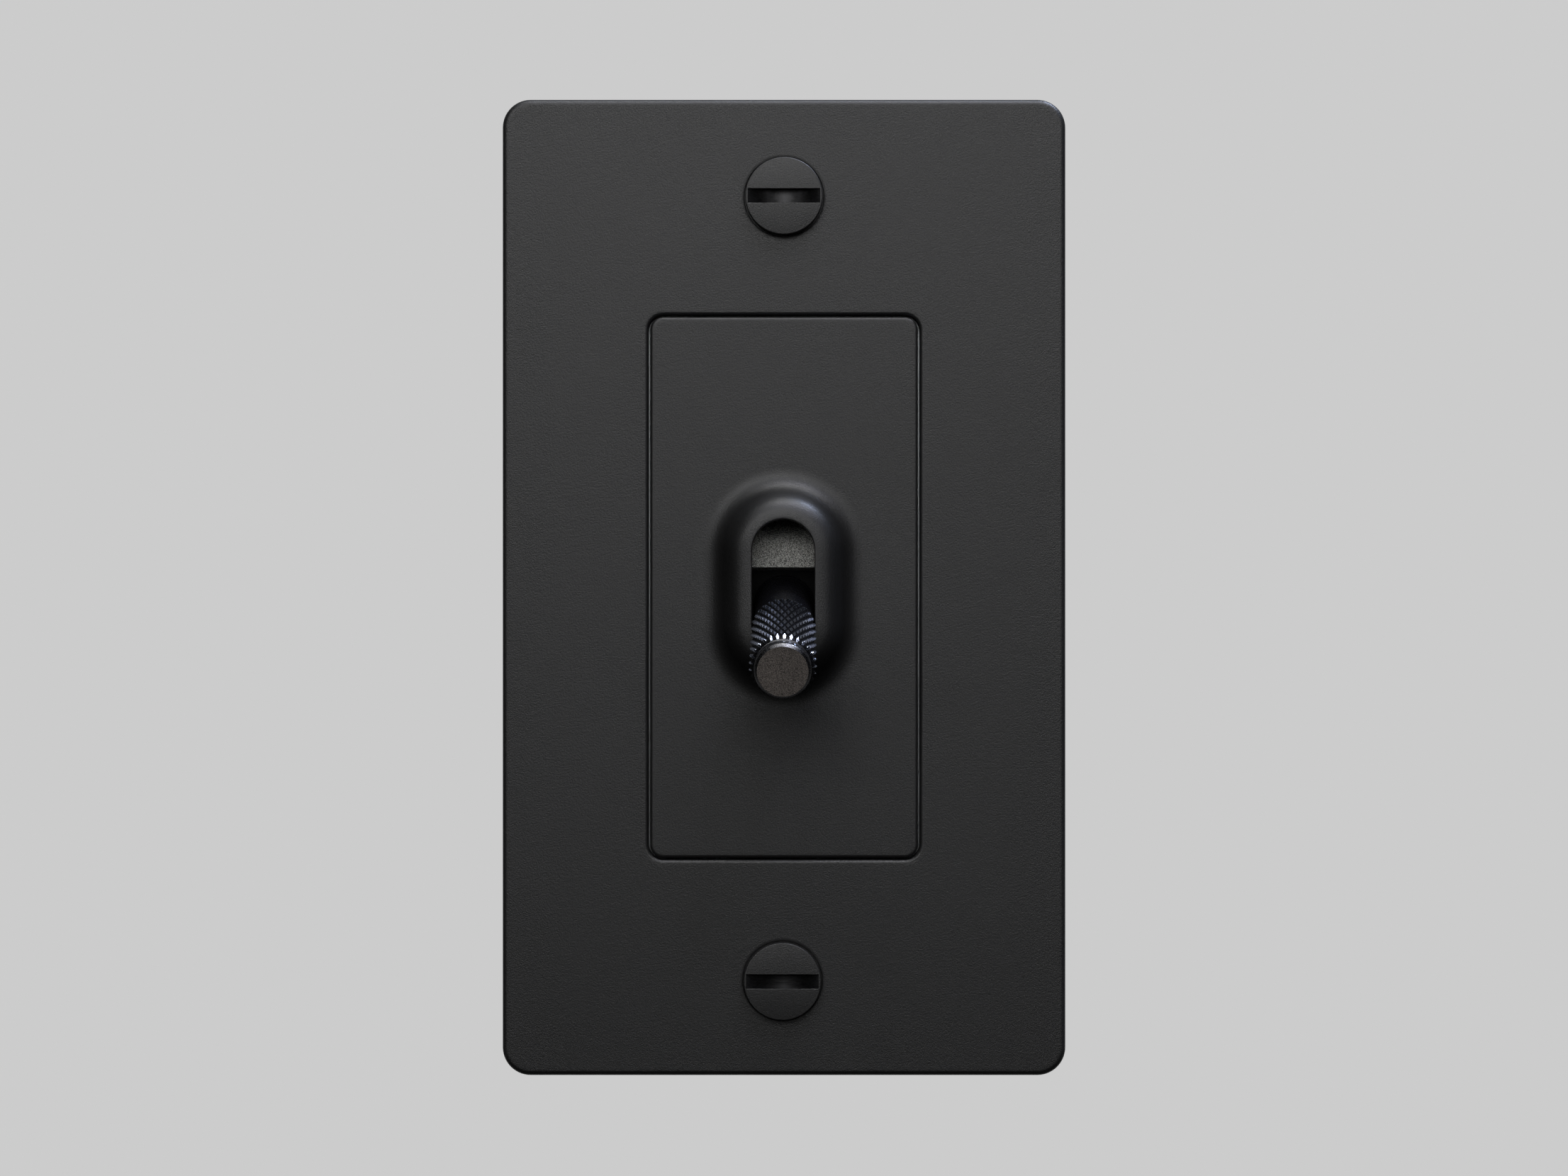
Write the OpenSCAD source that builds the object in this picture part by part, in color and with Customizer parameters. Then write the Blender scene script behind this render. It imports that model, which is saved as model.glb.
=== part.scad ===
// Toggle-lever wall switch on a decorator-size plate.
// Every module is drawn in the wall's own frame: x to the right, y up, z outwards
// from the wall plane, and front() then stands it up with +Z up and -Y outwards.
// The origin is the centre of the plate's back rim, on the wall plane.

/* [Wall plate] */
// Width of the wall plate
plate_w = 69.4; // [68:0.1:76]
// Height of the wall plate
plate_h = 120.3; // [118:0.1:126]
// Thickness of the wall plate, back rim to front face
plate_t = 4.2; // [4.1:0.1:4.4]
// Radius of the plate's four outer corners
plate_corner_r = 3.45; // [2:0.05:5]
// Rounding of the plate's front edge
plate_edge_r = 0.8; // [0.3:0.1:1]
// Width of the plate's opening
opening_w = 33.5; // [33.3:0.1:33.9]
// Height of the plate's opening
opening_h = 67.1; // [66.9:0.1:67.5]
// Distance between the two plate screws
plate_screw_pitch = 96.84; // [96.4:0.01:97.2]
// Radius of a coin screw's head
coin_head_r = 4.75; // [4:0.05:4.9]
// Height of a coin screw's head above the plate
coin_head_rise = 1.7; // [1.2:0.1:2]

/* [Fascia] */
// Width of the fascia
fascia_w = 33.0; // [32.6:0.1:33.1]
// Height of the fascia
fascia_h = 66.7; // [66.2:0.1:66.8]
// Height of the collar above the fascia
collar_h = 4.6; // [4.2:0.1:5.5]
// Half-width of the slot in the collar
slot_r = 3.83; // [3.8:0.01:4]
// Distance from the slot's middle to the centre of each round end
slot_half_run = 4.5; // [4.45:0.05:4.8]
// Half-width of the collar's outer wall
collar_r = 7.1; // [6.8:0.1:7.6]
// Convex rounding of the collar's rim
collar_round = 2.5; // [1.6:0.1:2.7]
// Concave fillet at the collar's foot
collar_fillet = 2; // [1:0.1:2]

/* [Lever] */
// Angle of the lever below the horizontal; it stops at the same angle above
lever_tilt = 14.5; // [10:0.5:14.5]
// Distance from the pivot to the tip of the lever
lever_reach = 39.3; // [36:0.1:42]
// Distance from the pivot to the start of the knurled grip
grip_start = 19.9; // [19.9:0.1:21]
// Length of the nose in front of the grip
nose_length = 1.9; // [1.2:0.1:3]
// Radius over the knurled grip
grip_r = 4.0; // [3.7:0.05:4.1]
// Radius of the smooth neck
neck_r = 3.6; // [3.3:0.05:3.6]
// Radius of the nose
nose_r = 3.44; // [3.2:0.02:3.6]

/* [Mechanism] */
// Depth of the lever's pivot behind the wall plane
pivot_depth = 7.5; // [7.4:0.1:7.6]
// Radius of the drum's curved shield
drum_r = 12.25; // [12:0.05:12.3]
// Half-width of the drum
drum_half = 5.6; // [5:0.1:5.7]
// Radius of the pivot pin
pin_r = 1.5; // [1.2:0.05:1.6]
// Tilt of the contact blade at each end of its travel
blade_tilt = 7; // [6:0.5:7]
// Depth of the blade's fulcrum behind the wall plane
fulcrum_depth = 20.7; // [20.6:0.05:20.8]
// Distance from the fulcrum to each contact
contact_arm = 12; // [11:0.5:12]

/* [Housing and strap] */
// Width of the housing
body_w = 32.8; // [32.4:0.2:33]
// Height of the housing
body_h = 65; // [64:0.5:66]
// Depth of the housing behind the wall plane
body_depth = 27; // [27:0.5:30]
// Thickness of the strap
strap_t = 1.3; // [1.2:0.1:1.4]
// Distance between the two box screws
box_screw_pitch = 83.34; // [83:0.01:83.7]
// Radius of the shank of a 6-32 screw
screw_632_r = 1.75; // [1.7:0.01:1.75]
// Radius of the shank of an 8-32 terminal screw
screw_832_r = 2.08; // [2:0.01:2.1]

/* [Hidden] */
$fn = 64;

front_z = plate_t;                       // face of the plate and of the fascia
collar_z = front_z + collar_h;           // top of the collar
pivot_z = -pivot_depth;
fulcrum_z = -fulcrum_depth;
grip_end = lever_reach - nose_length;    // end of the knurled sleeve
core_r = 3.0;                            // core inside the sleeve
tenon_r = 2.5;                           // threaded root in the drum
pocket_floor = 8.3;                      // floor of the drum's pocket, from the pivot
pocket_half = 5.4;                       // half-height of the pocket
ring_t = 0.6;                            // thickness of the lock ring
tail_r = 3.3;
tail_end = 8.6;
spring_bore_r = 2.15;
spring_seat = 3.2;
plunger_r = 2.1;
plunger_nose_r = 1.6;
plunger_nose_c = 8.9;
split_z = -10.5;                         // joint between the two housings
skin_z = -0.5;                           // front of the housing, behind the insulator
floor_z = -23.6;                         // floor of the contact chamber
strip_t = 1.0;                           // thickness of the terminal strips
seat_z = floor_z + strip_t;
chamber_half = 9.2;                      // half-width of the contact chamber
well_x = 6.1;
well_y = 13.2;
blade_front = 2.35;                      // blade's faces, from the fulcrum's axis
blade_back = 1.35;
traveller_y = 13.5;                      // height of the travellers' screws
term_z = -17.5;                          // depth of the terminal screws' axes
pad_in = 10.8;                           // terminal pad, inner and outer face
pad_out = 12.0;
wire_x = 13.3;                           // wire entries
wire_dy = 3.4;
wire_r = 1.25;
clamp_x = 14.6;                          // clamp plate, backed out as supplied
clamp_t = 1.0;
boss_x = 11.5;                           // assembly screws
boss_y = 28.6;
case_black = [0.09, 0.09, 0.10];
coat_black = [0.13, 0.13, 0.135];
zinc = [0.72, 0.73, 0.74];
brass = [0.78, 0.62, 0.33];

module front() rotate([90, 0, 0]) children();
module on_lever() front() translate([0, 0, pivot_z]) rotate([lever_tilt, 0, 0]) children();
module on_blade() front() translate([0, 0, fulcrum_z]) rotate([-blade_tilt, 0, 0]) children();

// ---- shared shapes ----

// Rounded rectangle, exact arcs
module round_rect(w, h, r) {
    square([w - 2*r, h], center = true);
    square([w, h - 2*r], center = true);
    for (i = [-1, 1], j = [-1, 1]) translate([i*(w/2 - r), j*(h/2 - r)]) circle(r);
}

// Cross-section of a slab with its two front edges rounded
module slab_profile(w, t, e) {
    translate([-w/2, 0]) square([w, t - e]);
    translate([-w/2 + e, 0]) square([w - 2*e, t]);
    for (i = [-1, 1]) translate([i*(w/2 - e), t - e]) circle(e);
}

// Slab with round corners and a rounded front edge
module soft_slab(w, h, t, c, e) {
    for (i = [-1, 1], j = [-1, 1]) translate([i*(w/2 - c), j*(h/2 - c), 0])
        rotate_extrude() intersection() {
            slab_profile(2*c, t, e);
            translate([0, -1]) square([c + 1, t + 2]);
        }
    translate([0, h/2 - c, 0]) rotate([90, 0, 0]) linear_extrude(h - 2*c) slab_profile(w, t, e);
    translate([-(w/2 - c), 0, 0]) rotate([90, 0, 90]) linear_extrude(w - 2*c) slab_profile(h, t, e);
}

// Cross-section of an opening that flares at the front with a convex lip
module flare_profile(w, t, e) {
    translate([-w/2, -1]) square([w, t + 2]);
    for (i = [-1, 1]) difference() {
        translate([i*(w/2 + e/2) - e/2, t - e]) square([e, e + 1]);
        translate([i*(w/2 + e), t - e]) circle(e);
        translate([i*(w/2 + e) - (i < 0 ? e : 0), t - 2*e]) square([e, 2*e]);
    }
}

// Opening with round corners and a rounded front lip
module soft_opening(w, h, t, c, e) {
    for (i = [-1, 1], j = [-1, 1]) translate([i*(w/2 - c), j*(h/2 - c), 0])
        rotate_extrude() intersection() {
            flare_profile(2*c, t, e);
            translate([0, -1]) square([c + e, t + 2]);
        }
    translate([0, h/2 - c, 0]) rotate([90, 0, 0]) linear_extrude(h - 2*c) flare_profile(w, t, e);
    translate([-(w/2 - c), 0, 0]) rotate([90, 0, 90]) linear_extrude(w - 2*c) flare_profile(h, t, e);
}

// Slot with round ends, upright
module stadium(r, run) {
    square([2*r, 2*run], center = true);
    for (j = [-1, 1]) translate([0, j*run]) circle(r);
}

// Slotted fastener along +z: the head's underside is at z = 0 and the shank runs to -length
module screw(head_r, head_t, shank_r, length, slot_w, slot_d) {
    difference() {
        rotate_extrude() union() {
            square([head_r, head_t - 0.4]);
            square([head_r - 0.4, head_t]);
            translate([head_r - 0.4, head_t - 0.4]) intersection() { circle(0.4); square(0.4); }
        }
        translate([-head_r - 1, -slot_w/2, head_t - slot_d]) cube([2*head_r + 2, slot_w, slot_d + 1]);
    }
    translate([0, 0, -length + 0.5]) cylinder(r = shank_r, h = length - 0.5 + 0.01);
    translate([0, 0, -length]) cylinder(r1 = shank_r - 0.5, r2 = shank_r, h = 0.5);
}

// ---- front ----

module wall_plate() color(coat_black) front() difference() {
    soft_slab(plate_w, plate_h, plate_t, plate_corner_r, plate_edge_r);
    soft_opening(opening_w, opening_h, plate_t, 1.9, 0.6);
    // hollow back: the rim rests on the wall and the strap lies inside it
    translate([0, 0, -1]) linear_extrude(1 + strap_t + 0.3) round_rect(plate_w - 6.4, plate_h - 6.4, 1.5);
    for (j = [-1, 1]) {
        translate([0, j*plate_screw_pitch/2, -1]) cylinder(r = screw_632_r + 0.35, h = 10);
        translate([0, j*plate_screw_pitch/2, front_z - 0.5]) cylinder(r = coin_head_r + 0.2, h = 2);
        // relief over the box screws' heads
        translate([0, j*box_screw_pitch/2, 0]) cylinder(r = 3.9, h = 3.0);
    }
}

module coin_screw() {
    face = front_z + coin_head_rise;
    disc_r = 6.5;
    difference() {
        translate([0, 0, front_z - 0.5]) rotate_extrude() union() {
            square([coin_head_r, coin_head_rise + 0.5 - 0.3]);
            square([coin_head_r - 0.3, coin_head_rise + 0.5]);
            translate([coin_head_r - 0.3, coin_head_rise + 0.2]) intersection() { circle(0.3); square(0.3); }
        }
        // coin slot, cut with a disc: closed at both ends and deepest in the middle
        translate([0, 0.865, face + sqrt(disc_r*disc_r - 4.4*4.4)]) rotate([90, 0, 0]) cylinder(r = disc_r, h = 1.73);
    }
    translate([0, 0, -5.5]) cylinder(r = screw_632_r, h = 5.5 + front_z - 0.49);
    translate([0, 0, -6]) cylinder(r1 = screw_632_r - 0.5, r2 = screw_632_r, h = 0.5);
}

module coin_screws() color(coat_black) front()
    for (j = [-1, 1]) translate([0, j*plate_screw_pitch/2, 0]) coin_screw();

// Half of the collar's section, from the slot's centreline outwards
module collar_profile() {
    z0 = front_z - 0.02;
    translate([0, z0 - 1]) square([collar_r, collar_h - collar_round + 1.02]);
    translate([0, z0]) square([collar_r - collar_round, collar_h + 0.02]);
    translate([collar_r - collar_round, collar_z - collar_round])
        intersection() { circle(collar_round); square(collar_round); }
    difference() {
        translate([collar_r - 0.5, z0 - 1]) square([collar_fillet + 0.5, collar_fillet + 1]);
        translate([collar_r + collar_fillet, z0 + collar_fillet]) circle(collar_fillet);
    }
}

module fascia() color(coat_black) front() difference() {
    union() {
        translate([0, 0, strap_t]) soft_slab(fascia_w, fascia_h, front_z - strap_t, 1.6, 0.6);
        for (j = [-1, 1]) translate([0, j*slot_half_run, 0]) rotate_extrude() collar_profile();
        translate([0, slot_half_run, 0]) rotate([90, 0, 0]) linear_extrude(2*slot_half_run) {
            collar_profile();
            mirror([1, 0]) collar_profile();
        }
    }
    linear_extrude(20) stadium(slot_r, slot_half_run);
    // room for the drum's shield under the collar
    translate([-drum_half - 0.3, 0, pivot_z]) rotate([0, 90, 0]) cylinder(r = drum_r + 0.25, h = 2*drum_half + 0.6);
    // hollow underside, either side of the drum
    for (j = [-1, 1]) translate([0, j*20.5, 0]) linear_extrude(strap_t + 1.1) round_rect(28.6, 11, 1);
    for (i = [-1, 1], j = [-1, 1]) translate([i*boss_x, j*boss_y, 0]) cylinder(r = 1.2, h = 3.3);
}

// ---- lever ----

module lever_grip() color([0.16, 0.16, 0.17]) on_lever() rotate_extrude() difference() {
    translate([0, grip_start]) square([grip_r, grip_end - grip_start]);
    translate([-1, grip_start - 1]) square([core_r + 1, grip_end - grip_start + 2]);
    // chamfered ends
    polygon([[grip_r - 0.55, grip_end + 0.01], [grip_r + 0.01, grip_end - 0.55], [grip_r + 1, grip_end + 1]]);
    polygon([[grip_r - 0.35, grip_start - 0.01], [grip_r + 0.01, grip_start + 0.35], [grip_r + 1, grip_start - 1]]);
}

module lever_shank() color(coat_black) on_lever() difference() {
    union() {
        translate([0, 0, pocket_floor + ring_t]) cylinder(r = neck_r, h = grip_start - pocket_floor - ring_t);
        translate([0, 0, grip_start - 0.01]) cylinder(r = core_r, h = grip_end - grip_start + 0.01);
        translate([0, 0, 4.6]) cylinder(r = tenon_r, h = pocket_floor + ring_t - 4.6 + 0.01);
    }
    translate([0, 0, 33]) cylinder(r = 1.5, h = 10);
}

module lever_end_cap() color([0.2, 0.195, 0.19]) on_lever() union() {
    translate([0, 0, grip_end]) cylinder(r = nose_r, h = nose_length - 0.38);
    translate([0, 0, lever_reach - 0.38]) cylinder(r1 = nose_r, r2 = nose_r - 0.37, h = 0.38);
    translate([0, 0, 33]) cylinder(r = 1.5, h = grip_end - 33 + 0.01);
}

module lever_lock_ring() color(coat_black) on_lever() translate([0, 0, pocket_floor]) difference() {
    cylinder(r = 3.8, h = ring_t);
    translate([0, 0, -1]) cylinder(r = tenon_r, h = 3);
}

// Wedge between two angles from the lever's axis, in the (height, reach) plane
module wedge(a1, a2, r) polygon([[0, 0], for (k = [0:4]) let (a = a1 + (a2 - a1)*k/4) [r*sin(a), r*cos(a)]]);

module toggle_drum() color([0.24, 0.24, 0.23]) on_lever() difference() {
    union() {
        // curved shield on two cheeks, drawn in the (y, z) plane and extruded across
        translate([-drum_half, 0, 0]) rotate([90, 0, 90]) linear_extrude(2*drum_half) union() {
            intersection() { circle(drum_r); wedge(-60, 60, 20); }
            circle(4.2);
        }
        translate([0, 0, -tail_end]) cylinder(r = tail_r, h = tail_end);
    }
    // hollows behind the two wings of the shield
    for (m = [0, 1]) mirror([0, m, 0]) translate([-drum_half + 1.2, 0, 0]) rotate([90, 0, 90])
        linear_extrude(2*drum_half - 2.4) intersection() {
            difference() { circle(drum_r - 1.8); circle(4.9); }
            polygon([[3.6, 0], [20, 0], [20, 20], [5.9, 20], [5.9, 7], [3.6, 5]]);
        }
    // pocket that the lever grows out of
    translate([-4.6, -pocket_half, pocket_floor]) cube([9.2, 2*pocket_half, 10]);
    translate([0, 0, 4.6]) cylinder(r = tenon_r, h = 10);
    translate([-10, 0, 0]) rotate([0, 90, 0]) cylinder(r = pin_r + 0.05, h = 20);
    translate([0, 0, -tail_end - 1]) cylinder(r = spring_bore_r, h = tail_end + 1 - spring_seat);
}

// ---- snap action ----

module pivot_pin() color(zinc) front() translate([-15.9, 0, pivot_z]) rotate([0, 90, 0]) union() {
    cylinder(r = pin_r, h = 26.4);
    translate([0, 0, 26.39]) cylinder(r1 = pin_r, r2 = pin_r - 0.4, h = 0.41);
}

module drive_plunger() color([0.86, 0.85, 0.8]) on_lever() difference() {
    union() {
        translate([0, 0, -8.3]) cylinder(r = plunger_r, h = 2.9);
        translate([0, 0, -plunger_nose_c]) cylinder(r = plunger_nose_r, h = 0.7);
        translate([0, 0, -plunger_nose_c]) sphere(plunger_nose_r);
    }
    translate([0, 0, -7.9]) cylinder(r = 1.72, h = 5);
}

// Coil spring: rings of a thin wire along a helix, its end turns wound close
spring_top = -spring_seat - 0.24;
spring_bottom = -7.9 + 0.24;
spring_turns = 5;
spring_steps = 90;
spring_sides = 8;
wire = 0.2;
coil_r = 1.42;
function spring_z(t) = let (n = t*spring_turns, p = 0.42, e = 1,
    mid = (spring_top - spring_bottom - 2*e*p)/(spring_turns - 2*e))
    n < e ? p*n : n > spring_turns - e ? (spring_top - spring_bottom) - p*(spring_turns - n) : e*p + mid*(n - e);
function ring(t) = [for (k = [0:spring_sides - 1]) let (b = 360*k/spring_sides, a = 360*spring_turns*t)
    [(coil_r + wire*cos(b))*cos(a), (coil_r + wire*cos(b))*sin(a), spring_bottom + spring_z(t) + wire*sin(b)]];
module plunger_spring() color(zinc) on_lever() polyhedron(
    points = [for (i = [0:spring_steps]) each ring(i/spring_steps)],
    faces = [
        [for (k = [0:spring_sides - 1]) k],
        for (i = [0:spring_steps - 1], k = [0:spring_sides - 1]) let (n = (k + 1) % spring_sides,
            a = i*spring_sides + k, b = i*spring_sides + n, c = a + spring_sides, d = b + spring_sides) each [[a, c, b], [b, c, d]],
        [for (k = [spring_sides - 1:-1:0]) spring_steps*spring_sides + k]
    ]);

// See-saw blade with a round-nosed rib that rocks in the saddle
module contact_blade() color([0.80, 0.52, 0.34]) on_blade() difference() {
    union() {
        translate([-4, -14.2, blade_back]) cube([8, 28.4, blade_front - blade_back]);
        translate([-3.9, -1.2, 0]) cube([7.8, 2.4, blade_back + 0.1]);
        translate([-3.9, 0, 0]) rotate([0, 90, 0]) cylinder(r = 1.2, h = 7.8);
    }
    for (j = [-1, 1]) translate([0, j*contact_arm, 0]) cylinder(r = 0.9, h = 4);
    // clipped corners
    for (i = [-1, 1], j = [-1, 1]) translate([i*4, j*14.2, 0]) rotate([0, 0, 45]) translate([-1, -1, 0]) cube([2, 2, 4]);
}

module moving_contacts() color([0.82, 0.82, 0.8]) on_blade()
    for (j = [-1, 1]) translate([0, j*contact_arm, 0]) {
        translate([0, 0, 0.55]) cylinder(r = 1.9, h = blade_back - 0.55);
        translate([0, 0, blade_back - 0.01]) cylinder(r = 0.9, h = blade_front - blade_back + 0.02);
        translate([0, 0, blade_front]) cylinder(r1 = 1.35, r2 = 1.0, h = 0.45);
    }

// where the closed contact's face lies in the wall's frame
closed_y = contact_arm*cos(blade_tilt) + 0.55*sin(blade_tilt);
closed_z = fulcrum_z - contact_arm*sin(blade_tilt) + 0.55*cos(blade_tilt);
dome_r = 6;

module fixed_contacts() color([0.82, 0.82, 0.8]) front()
    for (j = [-1, 1]) translate([0, j*closed_y, 0]) {
        intersection() {
            translate([0, 0, seat_z]) cylinder(r = 1.9, h = 3);
            translate([0, 0, closed_z - 0.07 - dome_r]) sphere(dome_r, $fn = 128);
        }
        translate([0, 0, floor_z]) cylinder(r = 1.0, h = strip_t + 0.01);
    }

// ---- terminals ----

// Upright pad with a tapped hole, at the outer end of a strip
module terminal_pad(y) difference() {
    translate([pad_in, y - 5, floor_z]) cube([pad_out - pad_in, 10, 11.1]);
    translate([pad_in - 1, y, term_z]) rotate([0, 90, 0]) cylinder(r = screw_832_r, h = 4);
}

module traveller(j) front() difference() {
    union() {
        terminal_pad(j*traveller_y);
        translate([-3, j*closed_y - 3, floor_z]) cube([pad_in + 3.01, 6, strip_t]);
    }
    translate([0, j*closed_y, floor_z - 1]) cylinder(r = 1.0, h = 3);
}

module upper_traveller_terminal() color(brass) traveller(1);
module lower_traveller_terminal() color(brass) traveller(-1);

module common_terminal() color(brass) front() difference() {
    union() {
        mirror([1, 0, 0]) terminal_pad(0);
        translate([-pad_in - 0.01, -3, floor_z]) cube([pad_in + 3.61, 6, strip_t]);
        translate([-3.6, -2.6, seat_z - 0.01]) cube([7.2, 5.2, fulcrum_z + 0.4 - seat_z + 0.01]);
    }
    translate([-5, 0, fulcrum_z]) rotate([0, 90, 0]) cylinder(r = 1.26, h = 10);
    // the groove opens out above the axis, so the rib can tilt
    translate([-5, -1.5, fulcrum_z]) cube([10, 3, 2]);
}

module terminal_screw() screw(3.7, 2.0, screw_832_r, 6.2, 1.3, 1.0);
module side_place(side, y) front() translate([side*(clamp_x + clamp_t), y, term_z]) rotate([0, side*90, 0]) children();

module traveller_screws() color(brass) for (j = [-1, 1]) side_place(1, j*traveller_y) terminal_screw();
module common_screw() color([0.2, 0.19, 0.18]) side_place(-1, 0) terminal_screw();

module clamp_plate() translate([0, 0, -clamp_t]) linear_extrude(clamp_t) difference() {
    round_rect(8.4, 8.8, 0.8);
    circle(screw_832_r + 0.15);
}
module clamp_plates() color(zinc) {
    for (j = [-1, 1]) side_place(1, j*traveller_y) clamp_plate();
    side_place(-1, 0) clamp_plate();
}

// ---- housing ----

module front_housing() color(case_black) front() difference() {
    union() {
        translate([0, 0, split_z]) linear_extrude(skin_z - split_z) round_rect(body_w, body_h, 2);
        // stop posts across the drum's well
        for (j = [-1, 1]) translate([-8.9, j > 0 ? 6.9 : -8.6, -16.5]) cube([17.8, 1.7, 6.01]);
    }
    translate([-well_x, -well_y, split_z - 0.01]) cube([2*well_x, 2*well_y, 20]);
    // hollows from behind, above and below the well
    for (j = [-1, 1]) translate([-14.2, j > 0 ? 15.4 : -24.6, split_z - 1]) cube([28.4, 9.2, 8.6]);
    for (i = [-1, 1], j = [-1, 1]) translate([i*boss_x, j*boss_y, -30]) cylinder(r = 1.3, h = 40);
    // cross bore for the pivot pin
    translate([-20, 0, pivot_z]) rotate([0, 90, 0]) cylinder(r = pin_r, h = 30.9);
}

module rear_housing() color(case_black) front() difference() {
    translate([0, 0, -body_depth]) linear_extrude(split_z + body_depth) round_rect(body_w, body_h, 2);
    // contact chamber
    translate([-chamber_half, -17.2, floor_z]) cube([2*chamber_half, 34.4, 20]);
    // hollows above and below the chamber
    for (j = [-1, 1]) translate([-13.6, j > 0 ? 20.4 : -25.2, -24.6]) cube([27.2, 4.8, 20]);
    // terminal pockets, open at the sides
    for (j = [-1, 1]) terminal_pocket(1, j*traveller_y);
    terminal_pocket(-1, 0);
    for (j = [-1, 1]) translate([0, j*closed_y - 3, floor_z]) cube([pad_out, 6, strip_t]);
    translate([-pad_out, -3, floor_z]) cube([pad_out, 6, strip_t]);
    for (i = [-1, 1], j = [-1, 1]) translate([i*boss_x, j*boss_y, 0]) {
        translate([0, 0, -30]) cylinder(r = 1.3, h = 40);
        translate([0, 0, -body_depth - 1]) cylinder(r = 2.5, h = 3.2);
    }
}

module terminal_pocket(side, y) {
    translate([side > 0 ? pad_in : -20, y - 5.4, floor_z]) cube([20 - pad_in, 10.8, 20]);
    translate([side > 0 ? chamber_half - 1 : -pad_in - 1, y, term_z]) rotate([0, 90, 0]) cylinder(r = screw_832_r + 0.2, h = pad_in - chamber_half + 2);
    for (k = [-1, 1]) translate([side*wire_x, y + k*wire_dy, -body_depth - 1]) cylinder(r = wire_r, h = 6);
}

module stop_bumpers() color([0.12, 0.12, 0.12]) front()
    for (j = [0, 1]) mirror([0, j, 0]) translate([-3, 5.45, -16.2]) cube([6, 1.45, 3.6]);

module strap_insulator() color([0.35, 0.33, 0.3]) front() translate([0, 0, skin_z]) linear_extrude(-skin_z) difference() {
    round_rect(body_w - 0.4, body_h - 0.4, 2);
    square([2*well_x + 2.8, 2*well_y + 2.4], center = true);
    for (i = [-1, 1], j = [-1, 1]) translate([i*boss_x, j*boss_y]) circle(1.5);
}

// ---- strap and fasteners ----

module mounting_strap() color(zinc) front() linear_extrude(strap_t) difference() {
    union() {
        round_rect(36.6, 79.6, 1.2);
        square([17, 104], center = true);
        // plaster ears
        for (j = [-1, 1]) translate([0, j*48.6]) round_rect(34, 9.6, 3);
    }
    square([2*well_x + 2.8, 2*well_y + 2.4], center = true);
    for (j = [-1, 1]) {
        translate([0, j*plate_screw_pitch/2]) circle(screw_632_r);
        translate([0, j*box_screw_pitch/2]) rotate([0, 0, 90]) stadium(screw_632_r + 0.15, 2.2);
        // break-off notches of the ears
        for (i = [-1, 1], k = [-1, 1]) translate([i*9.2, j*48.6 + k*4.9]) circle(0.9);
    }
    for (i = [-1, 1], j = [-1, 1]) translate([i*boss_x, j*boss_y]) circle(1.5);
    translate([-8.5, -36.4]) circle(1.2);
}

module assembly_screws() color(zinc) front() for (i = [-1, 1], j = [-1, 1])
    translate([i*boss_x, j*boss_y, -body_depth + 2.2]) rotate([180, 0, 0])
        screw(2.3, 1.7, 1.2, body_depth - 2.2 + 3.2, 0.7, 0.8);

// captive screws: a thin neck under the head, thread below the washer
module box_screws() color(zinc) front() for (j = [-1, 1])
    translate([0, j*box_screw_pitch/2, strap_t]) {
        difference() {
            rotate_extrude() union() {
                square([3.4, 1.1]);
                square([3.0, 1.5]);
                translate([3.0, 1.1]) intersection() { circle(0.4); square(0.4); }
            }
            translate([-5, -0.55, 0.7]) cube([10, 1.1, 2]);
        }
        translate([0, 0, -strap_t - 0.46]) cylinder(r = 1.45, h = strap_t + 0.47);
        translate([0, 0, -24.9]) cylinder(r = screw_632_r, h = 24.9 - strap_t - 0.45);
        translate([0, 0, -25.4]) cylinder(r1 = screw_632_r - 0.5, r2 = screw_632_r, h = 0.5);
    }

module retaining_washers() color([0.62, 0.42, 0.25]) front() for (j = [-1, 1])
    translate([0, j*box_screw_pitch/2, -0.4]) difference() {
        cylinder(r = 3.6, h = 0.4);
        translate([0, 0, -1]) cylinder(r = 1.5, h = 3);
    }

module ground_clip() color(zinc) front() difference() {
    union() {
        translate([-16.2, -39.4, -1.2]) cube([11.2, 6, 1.2]);
        translate([-16.2, -39.4, -11]) cube([1.2, 6, 11]);
    }
    translate([-8.5, -36.4, -3]) cylinder(r = 1.2, h = 5);
    translate([-18, -36.4, -6.6]) rotate([0, 90, 0]) cylinder(r = screw_832_r, h = 5);
}

module ground_rivet() color(zinc) front() translate([-8.5, -36.4, 0]) {
    translate([0, 0, -1.21]) cylinder(r = 1.2, h = strap_t + 1.21);
    translate([0, 0, -2]) cylinder(r1 = 1.6, r2 = 2.1, h = 0.8);
}

module ground_screw() color([0.10, 0.42, 0.2]) front() translate([-16.2, -36.4, -6.6]) rotate([0, -90, 0]) union() {
    difference() {
        cylinder(r = 3.9, h = 2.2, $fn = 6);
        translate([-5, -0.6, 1.2]) cube([10, 1.2, 2]);
    }
    translate([0, 0, -7]) cylinder(r = screw_832_r, h = 7.01);
    translate([0, 0, -7.5]) cylinder(r1 = screw_832_r - 0.5, r2 = screw_832_r, h = 0.51);
}

wall_plate();
coin_screws();
fascia();
lever_grip();
lever_shank();
lever_end_cap();
lever_lock_ring();
toggle_drum();
pivot_pin();
drive_plunger();
plunger_spring();
contact_blade();
moving_contacts();
common_terminal();
upper_traveller_terminal();
lower_traveller_terminal();
fixed_contacts();
traveller_screws();
common_screw();
clamp_plates();
front_housing();
rear_housing();
stop_bumpers();
strap_insulator();
mounting_strap();
assembly_screws();
box_screws();
retaining_washers();
ground_clip();
ground_rivet();
ground_screw();
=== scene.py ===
import bmesh
import bpy
import math
import random
from mathutils import Matrix, Vector, noise


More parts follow.
